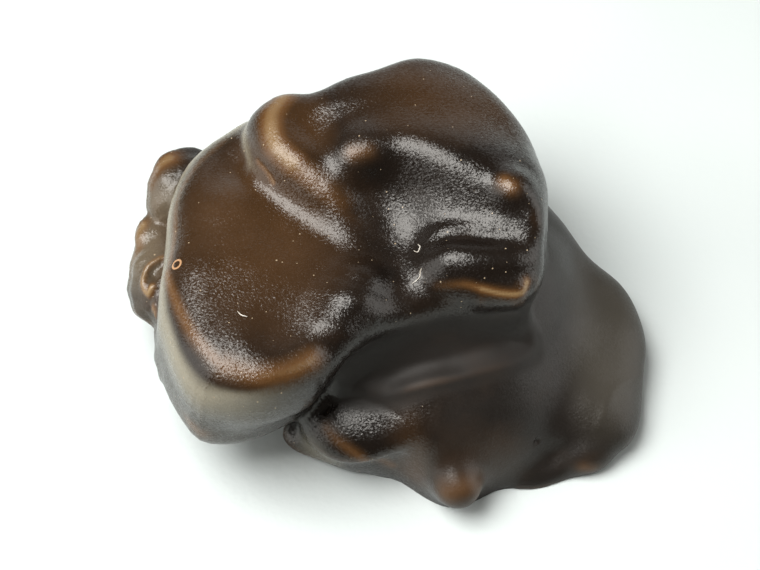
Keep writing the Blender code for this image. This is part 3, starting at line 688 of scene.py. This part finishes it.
def mesh_of_grids(name, grids):
    """One mesh from grids of points: each grid's rows are rings, and its first and last ring are closed."""
    points, faces = [], []
    first = 0
    for grid in grids:
        rows, columns = grid.shape[:2]
        points.append(grid.reshape(-1, 3))
        faces += grid_faces(rows, columns, first)
        faces.append(list(range(first + columns - 1, first - 1, -1)))
        faces.append(list(range(first + (rows - 1) * columns, first + rows * columns)))
        first += rows * columns
    mesh = bpy.data.meshes.new(name)
    mesh.from_pydata(np.concatenate(points).tolist(), [], faces)
    mesh.validate()
    mesh.shade_smooth()
    return mesh


# A hair's thickness: share of its radius at its ends, and the part of a sine's half wave that it follows
HAIR_TIP = 0.4
HAIR_ENDS = (0.03, 0.97)


def hair_grid(line, radius, sides):
    """A hair: rings across its path, path + taper * (cos a * side + sin a * up), thinner at both ends."""
    path = spline(line, HAIR_STEPS, False)
    along = np.gradient(path, axis=0)
    along /= np.linalg.norm(along, axis=1)[:, None]
    side = np.cross(along, (0.0, 0.0, 1.0))
    side /= np.linalg.norm(side, axis=1)[:, None] + 1e-9
    up = np.cross(side, along)
    taper = radius * (HAIR_TIP + (1 - HAIR_TIP) * np.sin(np.pi * np.linspace(*HAIR_ENDS, len(path))))
    a = np.arange(sides) * 2 * np.pi / sides
    ring = np.cos(a)[None, :, None] * side[:, None] + np.sin(a)[None, :, None] * up[:, None]
    return path[:, None] + taper[:, None, None] * ring


# Lint caught on the coat: how far a hair's middle lies off it, in radii, and each hair's points.
# A real fibre is thinner than a pixel, so the hairs are drawn as thick as they need to show
HAIR_LIFT = 1.3
HAIRS = [
    [(2.2, 0.4, 13.8), (2.35, 0.1, 13.9), (2.15, -0.25, 13.9), (1.9, -0.05, 13.7)],
    [(2.8, -1.3, 14.3), (2.35, -1.7, 14.0), (2.25, -2.2, 13.8), (1.7, -2.6, 13.6)],
    [(-9.9, -5.4, 14.9), (-9.6, -5.7, 14.9), (-9.2, -5.8, 14.9)],
]


def lifted_line(points, lift):
    """A line's points drawn onto the coat and lifted off it."""
    p, out = draw_onto_coat(np.asarray(points, float), LINE_MOVES)
    return (p + out * lift - FRAME_CENTRE) * MM


def linear(code):
    """An sRGB hex colour as linear red, green and blue."""
    parts = [int(code[i:i + 2], 16) / 255 for i in (1, 3, 5)]
    return tuple(c / 12.92 if c <= 0.04045 else ((c + 0.055) / 1.055) ** 2.4 for c in parts)


def scale_of(size):
    """Scale of a pattern whose cells or waves are size millimetres wide."""
    return 1 / (size * MM)


def add_node(tree, kind, sockets, stops=(), **settings):
    """Adds one node with its settings, its ramp's stops and its sockets, each a value or a link."""
    new = tree.nodes.new(kind)
    while len(stops) > 2 and len(new.color_ramp.elements) < len(stops):
        new.color_ramp.elements.new(0.5)
    for number, (place, colour) in enumerate(stops):
        new.color_ramp.elements[number].position = place
        new.color_ramp.elements[number].color = (*colour, 1)
    for key, value in settings.items():
        setattr(new, key, value)
    for key, value in sockets.items():
        if isinstance(value, bpy.types.NodeSocket):
            tree.links.new(value, new.inputs[key])
        else:
            new.inputs[key].default_value = value
    return new


def empty_material(name):
    """A material with an empty node tree, and that tree."""
    material = bpy.data.materials.new(name)
    material.use_nodes = True
    material.node_tree.nodes.clear()
    return material, material.node_tree


# Where on the thinness ramp, between the dark and the tan ends, the coat is brown and amber
BROWN_AT = 0.32
AMBER_AT = 0.62
# The noise of the uneven patches and of the grain: how many finer layers it has, and how strong they are
CLOUD_LAYERS = 4.0
GRAIN_LAYERS = 1.5
LAYER_STRENGTH = 0.6
# Roughness goes this much up and down while the patches' noise goes from the first to the second value
GLOSS_CHANGE = 0.05
GLOSS_RANGE = (0.3, 0.7)
# The coat's refractive index, between cocoa butter's and sugar's, and a trace of sheen
CHOCOLATE_IOR = 1.5
SHEEN = 0.02
SHEEN_ROUGHNESS = 0.4
# Mean of a crystal's random colour, which is taken off to make it a lean to any side
RANDOM_MEAN = (0.5, 0.5, 0.5)


def coat_colour(tree, place, dull, patches, settings):
    """Colour of the coat: its thickness and patches, then the painted reflection of the white table and
    walls on steep sides, the bubble's ring and the pale dots.
    """
    thin = add_node(tree, "ShaderNodeAttribute", {}, attribute_name="thin").outputs["Fac"]
    spread = add_node(tree, "ShaderNodeMath", {0: patches, 1: settings.cloud_depth, 2: thin},
                      operation="MULTIPLY_ADD")
    level = add_node(tree, "ShaderNodeMath", {0: spread.outputs[0], 1: settings.cloud_depth / 2},
                     operation="SUBTRACT")
    body = add_node(tree, "ShaderNodeValToRGB", {"Fac": level.outputs[0]},
                    [(0.0, settings.dark), (BROWN_AT, settings.brown), (AMBER_AT, settings.amber),
                     (1.0, settings.tan)]).outputs["Color"]
    # Painted reflection: a pale grey mixed in where the table and walls would mirror in the steep sides
    pale = add_node(tree, "ShaderNodeAttribute", {}, attribute_name="painted_reflection").outputs["Fac"]
    body = add_node(tree, "ShaderNodeMix", {"Factor": pale, 6: body, 7: (*settings.reflection_paint_colour, 1)},
                    data_type="RGBA").outputs[2]
    middle = tuple((landed(BUBBLE) - FRAME_CENTRE) * MM)
    away = add_node(tree, "ShaderNodeVectorMath", {0: place, 1: middle}, operation="DISTANCE")
    off = add_node(tree, "ShaderNodeMath", {0: away.outputs["Value"], 1: BUBBLE_RADIUS * MM},
                   operation="SUBTRACT")
    off = add_node(tree, "ShaderNodeMath", {0: off.outputs[0]}, operation="ABSOLUTE")
    rim = add_node(tree, "ShaderNodeMapRange",
                   {"Value": off.outputs[0], "From Min": BUBBLE_CORE * BUBBLE_LINE * MM,
                    "From Max": BUBBLE_LINE * MM, "To Min": BUBBLE_STRENGTH, "To Max": 0.0})
    body = add_node(tree, "ShaderNodeMix",
                    {"Factor": rim.outputs["Result"], 6: body, 7: (*settings.ring, 1)},
                    data_type="RGBA").outputs[2]
    cells = add_node(tree, "ShaderNodeTexVoronoi",
                     {"Vector": place, "Scale": scale_of(settings.dot_spacing)})
    chance = add_node(tree, "ShaderNodeSeparateColor", {"Color": cells.outputs["Color"]})
    chosen = add_node(tree, "ShaderNodeMath", {0: chance.outputs[0], 1: 1 - settings.dot_share},
                      operation="GREATER_THAN")
    largest = add_node(tree, "ShaderNodeMapRange",
                       {"Value": dull, "From Max": DULL_BARE,
                        "To Min": 0.5 * settings.dot_size / settings.dot_spacing, "To Max": 0.0})
    width = add_node(tree, "ShaderNodeMath", {0: chance.outputs[1], 1: largest.outputs["Result"]},
                     operation="MULTIPLY")
    inside = add_node(tree, "ShaderNodeMath", {0: width.outputs[0], 1: cells.outputs["Distance"]},
                      operation="GREATER_THAN")
    dots = add_node(tree, "ShaderNodeMath", {0: chosen.outputs[0], 1: inside.outputs[0]},
                    operation="MULTIPLY")
    return add_node(tree, "ShaderNodeMix", {"Factor": dots.outputs[0], 6: body, 7: (*settings.pale, 1)},
                    data_type="RGBA").outputs[2]


def coat_normal(tree, place, dull, settings):
    """The coat's normal: the pour's slow ripples, a fine grain, and crystals that lean each its own way."""
    ripple = add_node(tree, "ShaderNodeTexNoise",
                      {"Vector": place, "Scale": scale_of(settings.ripple_size), "Detail": 1.0})
    pour = add_node(tree, "ShaderNodeBump", {"Height": ripple.outputs["Fac"], "Strength": 1.0,
                                             "Distance": settings.ripple_height * MM})
    grain = add_node(tree, "ShaderNodeTexNoise",
                     {"Vector": place, "Scale": scale_of(settings.grain_size), "Detail": GRAIN_LAYERS,
                      "Roughness": LAYER_STRENGTH})
    firm = add_node(tree, "ShaderNodeMapRange", {"Value": dull, "To Min": 1.0, "To Max": DULL_SHARE})
    bump = add_node(tree, "ShaderNodeBump",
                    {"Height": grain.outputs["Fac"], "Strength": firm.outputs["Result"],
                     "Distance": settings.grain_height * MM, "Normal": pour.outputs["Normal"]})
    crystals = add_node(tree, "ShaderNodeTexVoronoi",
                        {"Vector": place, "Scale": scale_of(settings.crystal_size)})
    lean = add_node(tree, "ShaderNodeVectorMath", {0: crystals.outputs["Color"], 1: RANDOM_MEAN},
                    operation="SUBTRACT")
    reach = add_node(tree, "ShaderNodeMapRange", {"Value": dull, "To Min": settings.crystal_lean,
                                                  "To Max": DULL_SHARE * settings.crystal_lean})
    lean = add_node(tree, "ShaderNodeVectorMath", {0: lean.outputs[0], "Scale": reach.outputs["Result"]},
                    operation="SCALE")
    faces = add_node(tree, "ShaderNodeVectorMath", {0: bump.outputs["Normal"], 1: lean.outputs[0]},
                     operation="ADD")
    return add_node(tree, "ShaderNodeVectorMath", {0: faces.outputs[0]}, operation="NORMALIZE").outputs[0]


def chocolate_material(settings):
    """Dark couverture poured over nuts and crisp, set without tempering shine.

    To the eye: nearly black brown where it is thick, warm brown where thin, tan on rims and over nuts.
    Its skin is full of fine cocoa butter crystals, so highlights break into a sparkling grain, and a few
    pale crystals show as dots. Where it is dull, its gloss is wide and even, without grain or dots.
    A single crystal is too fine to show, so the grain and the leaning faces are drawn as clumps of them,
    0.1 to 0.2 mm wide, which is one to three pixels of the picture.
    """
    material, tree = empty_material("dark_chocolate_satin")
    place = add_node(tree, "ShaderNodeTexCoord", {}).outputs["Object"]
    dull = add_node(tree, "ShaderNodeAttribute", {}, attribute_name="dull").outputs["Fac"]
    patches = add_node(tree, "ShaderNodeTexNoise",
                       {"Vector": place, "Scale": scale_of(settings.cloud_size), "Detail": CLOUD_LAYERS,
                        "Roughness": LAYER_STRENGTH}).outputs["Fac"]
    gloss = add_node(tree, "ShaderNodeMapRange",
                     {"Value": patches, "From Min": GLOSS_RANGE[0], "From Max": GLOSS_RANGE[1],
                      "To Min": settings.roughness - GLOSS_CHANGE,
                      "To Max": settings.roughness + GLOSS_CHANGE})
    gloss = add_node(tree, "ShaderNodeMath",
                     {0: dull, 1: settings.dull_roughness, 2: gloss.outputs["Result"]},
                     operation="MULTIPLY_ADD")
    shader = add_node(tree, "ShaderNodeBsdfPrincipled",
                      {"Base Color": coat_colour(tree, place, dull, patches, settings),
                       "Normal": coat_normal(tree, place, dull, settings),
                       "Roughness": gloss.outputs[0], "IOR": CHOCOLATE_IOR,
                       "Sheen Weight": SHEEN, "Sheen Roughness": SHEEN_ROUGHNESS,
                       "Specular Tint": (*settings.gloss_tint, 1)})
    add_node(tree, "ShaderNodeOutputMaterial", {"Surface": shader.outputs["BSDF"]})
    return material


# Millimetres from one darker place of a fibre to the next, and the fibre's roughness
LINT_BAND = 0.3
LINT_ROUGHNESS = 0.85


def lint_material(settings):
    """Cotton lint: pale threads, a little brighter and darker along their length, without any gloss."""
    material, tree = empty_material("pale_cotton_lint")
    place = add_node(tree, "ShaderNodeTexCoord", {}).outputs["Object"]
    bands = add_node(tree, "ShaderNodeTexNoise",
                     {"Vector": place, "Scale": scale_of(LINT_BAND), "Detail": 1.0})
    colour = add_node(tree, "ShaderNodeValToRGB", {"Fac": bands.outputs["Fac"]},
                      [(0.35, settings.shade), (0.65, settings.colour)]).outputs["Color"]
    shader = add_node(tree, "ShaderNodeBsdfPrincipled", {"Base Color": colour, "Roughness": LINT_ROUGHNESS})
    add_node(tree, "ShaderNodeOutputMaterial", {"Surface": shader.outputs["BSDF"]})
    return material


# The table's laminate: width of its clouds, width and height of its grain in millimetres, its roughness.
# Its real grain is finer than a pixel, so it is drawn coarser
TABLE_CLOUD = 25.0
TABLE_GRAIN = 0.6
TABLE_GRAIN_HEIGHT = 0.02
TABLE_ROUGHNESS = 0.55


def table_material(settings):
    """Pale matt laminate: an even cool white with a faint cloudiness and a very fine grain."""
    material, tree = empty_material("pale_laminate")
    place = add_node(tree, "ShaderNodeTexCoord", {}).outputs["Object"]
    cloud = add_node(tree, "ShaderNodeTexNoise",
                     {"Vector": place, "Scale": scale_of(TABLE_CLOUD), "Detail": 2.0})
    colour = add_node(tree, "ShaderNodeValToRGB", {"Fac": cloud.outputs["Fac"]},
                      [(0.3, settings.floor_shade), (0.7, settings.floor)]).outputs["Color"]
    grain = add_node(tree, "ShaderNodeTexNoise",
                     {"Vector": place, "Scale": scale_of(TABLE_GRAIN), "Detail": 1.0})
    bump = add_node(tree, "ShaderNodeBump", {"Height": grain.outputs["Fac"], "Strength": 1.0,
                                             "Distance": TABLE_GRAIN_HEIGHT * MM})
    shader = add_node(tree, "ShaderNodeBsdfPrincipled",
                      {"Base Color": colour, "Roughness": TABLE_ROUGHNESS,
                       "Normal": bump.outputs["Normal"]})
    add_node(tree, "ShaderNodeOutputMaterial", {"Surface": shader.outputs["BSDF"]})
    return material


def add_piece(name, mesh, material):
    """Puts a finished mesh in the scene at the origin, riding on the part's one body."""
    mesh.materials.clear()
    mesh.materials.append(material)
    piece = bpy.data.objects.new(name, mesh)
    bpy.context.scene.collection.objects.link(piece)
    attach(piece, "root")
    return piece


def colour_setting(label, text, code):
    """A colour property with its default given as sRGB hex."""
    return FloatVectorProperty(name=label, description=text, subtype="COLOR", default=linear(code))


class PralineCoat(bpy.types.PropertyGroup):
    """Sizes and colours of the poured coat."""
    cuts: IntProperty(name="Cuts", description="Cuts in each edge of the solid's faces",
                      default=3, min=0, max=3)
    grain_size: FloatProperty(name="Grain size", description="Width of the surface's grain in millimetres",
                              default=0.17)
    grain_height: FloatProperty(name="Grain height", description="Height of the grain in millimetres",
                                default=0.03)
    crystal_size: FloatProperty(name="Crystal size", description="Width of a crystal in millimetres",
                                default=0.10)
    crystal_lean: FloatProperty(name="Crystal lean", description="How far the crystals' faces lean",
                                default=0.18)
    ripple_size: FloatProperty(name="Ripple size", description="Width of the pour's ripples in millimetres",
                               default=2.4)
    ripple_height: FloatProperty(name="Ripple height", description="Height of the ripples in millimetres",
                                 default=0.06)
    cloud_size: FloatProperty(name="Cloud size", description="Width of the uneven patches in millimetres",
                              default=4.0)
    cloud_depth: FloatProperty(name="Cloud depth", description="How much the patches change the colour",
                               default=0.20)
    dot_spacing: FloatProperty(name="Dot spacing", description="Millimetres between places of dots",
                               default=0.5)
    dot_size: FloatProperty(name="Dot size", description="Width of the largest dots in millimetres",
                            default=0.13)
    dot_share: FloatProperty(name="Dot share", description="Share of the places that have a crystal",
                             default=0.42)
    roughness: FloatProperty(name="Roughness", description="Dullness of the surface",
                             default=0.28, min=0, max=1)
    dull_roughness: FloatProperty(name="Dull roughness", description="Added where the coat is dull",
                                  default=0.36)
    dark: colour_setting("Dark", "Thick chocolate", "#130C07")
    brown: colour_setting("Brown", "Thinner chocolate", "#3C2712")
    amber: colour_setting("Amber", "Thin chocolate", "#583B1E")
    tan: colour_setting("Tan", "Thinnest chocolate", "#8C724E")
    pale: colour_setting("Pale", "Crystals", "#A08E74")
    # Colour of the painted reflection of the white table and walls on the steep sides
    reflection_paint_colour: colour_setting("Bloom", "Pale haze on steep sides", "#958D79")
    ring: colour_setting("Ring", "Rim of the burst bubble", "#B88E68")
    gloss_tint: colour_setting("Gloss tint", "Slightly warm reflections of the oily skin", "#FFFCF6")


class PralineLint(bpy.types.PropertyGroup):
    """Size and colour of the lint."""
    radius: FloatProperty(name="Radius", description="Half a hair's thickness in millimetres", default=0.04)
    sides: IntProperty(name="Sides", description="Points around each hair", default=8, min=3)
    colour: colour_setting("Colour", "Pale fibre", "#E6E0D4")
    shade: colour_setting("Shade", "Darker places of the fibre", "#B4AB9C")


class PralineStage(bpy.types.PropertyGroup):
    """The table, the lights and the camera."""
    floor: colour_setting("Floor", "Pale table", "#D7DDDA")
    floor_shade: colour_setting("Floor shade", "The table's darker clouds", "#D0D7D4")
    table_size: FloatProperty(name="Table size", description="Side of the table", default=2.0,
                              subtype="DISTANCE")
    key_power: FloatProperty(name="Key power", description="Power of the large soft light in watts",
                             default=1.10)
    key_size: FloatProperty(name="Key size", description="Side of the large soft light", default=0.18,
                            subtype="DISTANCE")
    key_distance: FloatProperty(name="Key distance", description="From the part to the light",
                                default=0.26, subtype="DISTANCE")
    panel_power: FloatProperty(name="Panel power", description="Power of each white side wall in watts",
                               default=0.42)
    panel_size: FloatProperty(name="Panel size", description="Side of each side wall", default=0.26,
                              subtype="DISTANCE")
    panel_distance: FloatProperty(name="Panel distance", description="From the part to a side wall",
                                  default=0.3, subtype="DISTANCE")
    sky: FloatProperty(name="Sky", description="Strength of the light from all around", default=0.10)
    sky_colour: colour_setting("Sky colour", "Warm light from all around", "#FFF7EC")
    distance: FloatProperty(name="Camera distance", description="From the part to the camera",
                            default=0.15, subtype="DISTANCE")
    elevation: FloatProperty(name="Camera elevation", description="Above the table",
                             default=math.radians(60), subtype="ANGLE")


class PralineSettings(bpy.types.PropertyGroup):
    """All settings of the praline."""
    coat: PointerProperty(type=PralineCoat)
    lint: PointerProperty(type=PralineLint)
    stage: PointerProperty(type=PralineStage)


class PRALINE_OT_coat(bpy.types.Operator):
    """Build the poured coat of dark chocolate"""
    bl_idname = "praline.coat"
    bl_label = "Poured coat"

    def execute(self, context):
        settings = context.scene.praline.coat
        piece = add_piece("poured_coat", coat_mesh(settings), chocolate_material(settings))
        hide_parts("praline")
        return {"FINISHED"}


class PRALINE_OT_lint(bpy.types.Operator):
    """Lay the hairs of lint on the coat"""
    bl_idname = "praline.lint"
    bl_label = "Lint"

    def execute(self, context):
        settings = context.scene.praline.lint
        lines = [lifted_line(hair, HAIR_LIFT * settings.radius) for hair in HAIRS]
        grids = [hair_grid(line, settings.radius * MM, settings.sides) for line in lines]
        add_piece("lint", mesh_of_grids("lint", grids), lint_material(settings))
        return {"FINISHED"}


# The picture's middle and one pixel's size there, in the forms' millimetres; its width in pixels;
# the sensor's width in millimetres, and how near to the camera it still sees, in metres
AIM = np.array((-0.42, 0.0, 9.0))
PIXEL = 0.07
PICTURE_WIDTH = 760
SENSOR_WIDTH = 36
NEAREST_SEEN = 0.01
# The large soft light stands high and a little to the left
KEY_DIRECTION = (-0.4, -0.03, 0.9)
# White walls that the coat's flanks mirror: name, direction, share of the panel power
PANELS = [
    ("right_wall", (0.93, 0.12, 0.34), 1.0),
    ("left_wall", (-0.92, -0.2, 0.34), 1.0),
    ("back_wall", (0.1, 0.97, 0.15), 0.3),
]


def add_light(name, direction, distance, size, power):
    """A square soft light that faces the middle of the part, and that the camera doesn't see."""
    light = bpy.data.lights.new(name, "AREA")
    light.size = size
    light.energy = power
    lamp = bpy.data.objects.new(name, light)
    away = Vector(direction).normalized()
    lamp.visible_camera = False
    lamp.location = away * distance + Vector((0, 0, AIM[2] * MM))
    lamp.rotation_mode = "QUATERNION"
    lamp.rotation_quaternion = away.to_track_quat("Z", "Y")
    bpy.context.scene.collection.objects.link(lamp)


def add_camera(distance, elevation):
    """The photograph's view: its lens gives one pixel the size PIXEL at the part."""
    camera = bpy.data.cameras.new("camera")
    camera.sensor_width = SENSOR_WIDTH
    camera.lens = camera.sensor_width * distance / (PICTURE_WIDTH * PIXEL * MM)
    camera.clip_start = NEAREST_SEEN
    back = Vector((0, -math.cos(elevation), math.sin(elevation)))
    aim = Vector((AIM - FRAME_CENTRE) * MM)
    view = bpy.data.objects.new("camera", camera)
    view.location = aim + back * distance
    view.rotation_mode = "QUATERNION"
    view.rotation_quaternion = back.to_track_quat("Z", "Y")
    bpy.context.scene.collection.objects.link(view)
    bpy.context.scene.camera = view


def add_table(settings):
    """The table: one square face at the height of the praline's foot."""
    half = settings.table_size / 2
    corners = [(-half, -half, 0), (half, -half, 0), (half, half, 0), (-half, half, 0)]
    mesh = bpy.data.meshes.new("table")
    mesh.from_pydata(corners, [], [(0, 1, 2, 3)])
    mesh.materials.append(table_material(settings))
    table = bpy.data.objects.new("table", mesh)
    bpy.context.scene.collection.objects.link(table)


def add_sky(settings):
    """Even, slightly warm light from all around."""
    world = bpy.data.worlds.new("soft_room")
    bpy.context.scene.world = world
    world.use_nodes = True
    background = world.node_tree.nodes["Background"]
    background.inputs["Color"].default_value = (*settings.sky_colour, 1)
    background.inputs["Strength"].default_value = settings.sky


class PRALINE_OT_stage(bpy.types.Operator):
    """Set up the table, the lights and the camera"""
    bl_idname = "praline.stage"
    bl_label = "Table, lights and camera"

    def execute(self, context):
        settings = context.scene.praline.stage
        add_table(settings)
        add_sky(settings)
        add_light("key", KEY_DIRECTION, settings.key_distance, settings.key_size, settings.key_power)
        for name, direction, share in PANELS:
            add_light(name, direction, settings.panel_distance, settings.panel_size,
                      settings.panel_power * share)
        add_camera(settings.distance, settings.elevation)
        context.scene.view_settings.view_transform = "Standard"
        return {"FINISHED"}


PIECES = (("coat", "praline.coat"), ("lint", "praline.lint"), ("stage", "praline.stage"))


class PRALINE_PT_panel(bpy.types.Panel):
    """Lists the praline's settings and its operators"""
    bl_idname = "PRALINE_PT_panel"
    bl_label = "Praline"
    bl_space_type = "VIEW_3D"
    bl_region_type = "UI"
    bl_category = "Praline"

    def draw(self, context):
        for name, operator in PIECES:
            box = self.layout.box()
            group = getattr(context.scene.praline, name)
            for key in group.bl_rna.properties.keys():
                if key not in ("rna_type", "name"):
                    box.prop(group, key)
            box.operator(operator)


CLASSES = (PralineCoat, PralineLint, PralineStage, PralineSettings, PRALINE_OT_coat, PRALINE_OT_lint,
           PRALINE_OT_stage, PRALINE_PT_panel)


def register():
    """Registers the classes and hangs the settings on the scene."""
    for cls in CLASSES:
        bpy.utils.register_class(cls)
    bpy.types.Scene.praline = PointerProperty(type=PralineSettings)


def unregister():
    """Takes the settings and the classes away again."""
    del bpy.types.Scene.praline
    for cls in reversed(CLASSES):
        bpy.utils.unregister_class(cls)


def main():
    """Builds everything in order."""
    register()
    bpy.ops.praline.coat()
    bpy.ops.praline.lint()
    bpy.ops.praline.stage()


if __name__ == "__main__":
    main()
